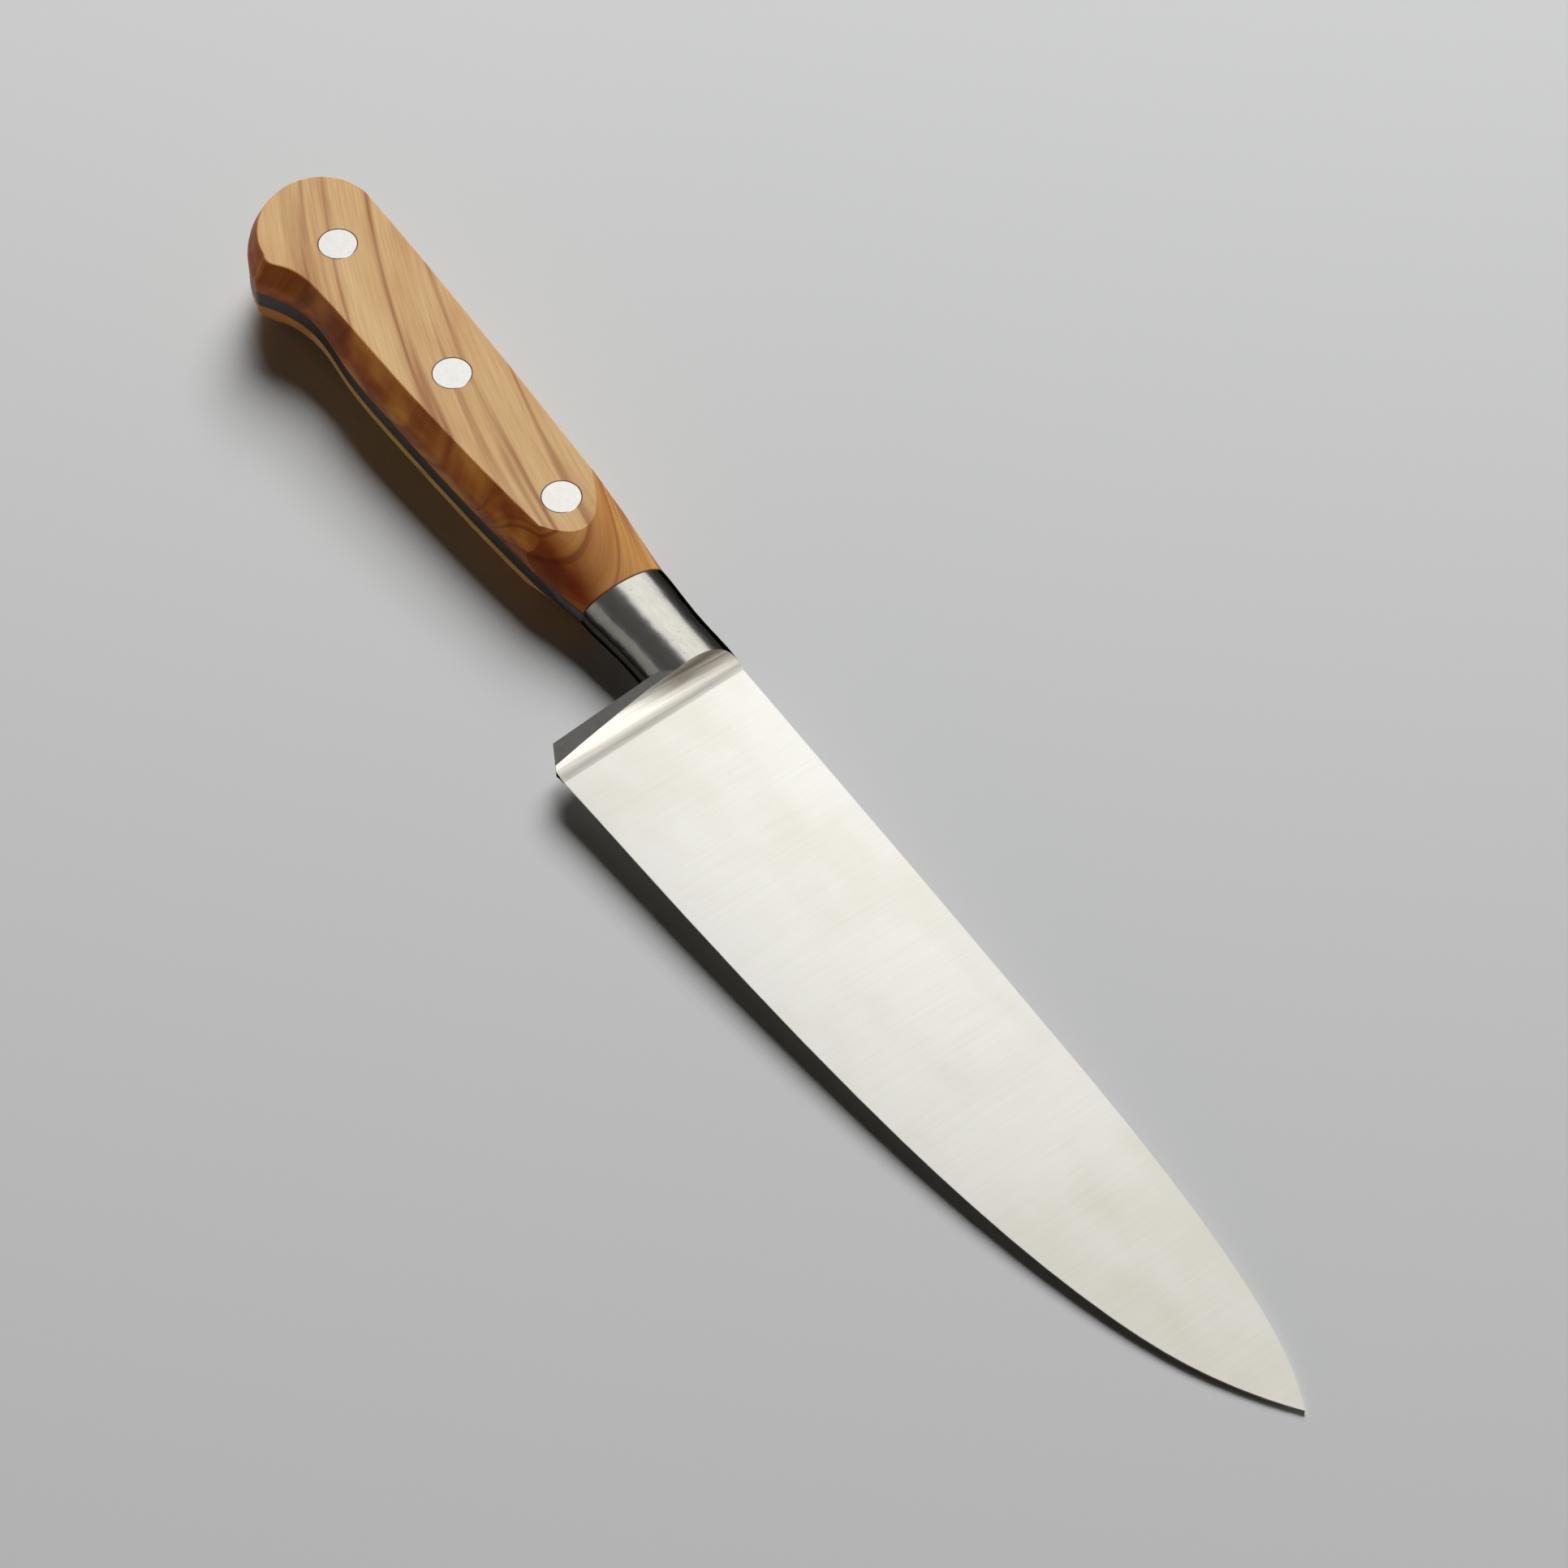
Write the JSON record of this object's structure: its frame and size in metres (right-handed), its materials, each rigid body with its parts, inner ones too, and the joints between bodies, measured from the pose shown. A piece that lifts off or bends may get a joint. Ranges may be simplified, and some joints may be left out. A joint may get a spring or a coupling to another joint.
{
  "type": "chef knife",
  "caption": "Forged chef's knife with a full bolster, a full tang and riveted wooden handle scales.",
  "frame": {"origin": "under the middle of the knife's box, on the plane of the left scale's flat, which the knife lies on", "axes": "+X from the butt to the tip, +Y from the cutting edge to the spine, +Z out of the knife's right side"},
  "size_m": [0.3409, 0.0485, 0.018],
  "materials": {
    "blade_steel": "satin, ground across the blade",
    "scale_wood": "oiled olive wood, smooth",
    "rivet_steel": "satin, ground flush with the wood"
  },
  "bodies": {
    "root": {"blade": "blade_steel", "scale_right": "scale_wood", "scale_left": "scale_wood", "rivet_stud_butt": "rivet_steel", "rivet_tube_butt": "rivet_steel", "rivet_stud_middle": "rivet_steel", "rivet_tube_middle": "rivet_steel", "rivet_stud_front": "rivet_steel", "rivet_tube_front": "rivet_steel"}
  },
  "joints": []
}
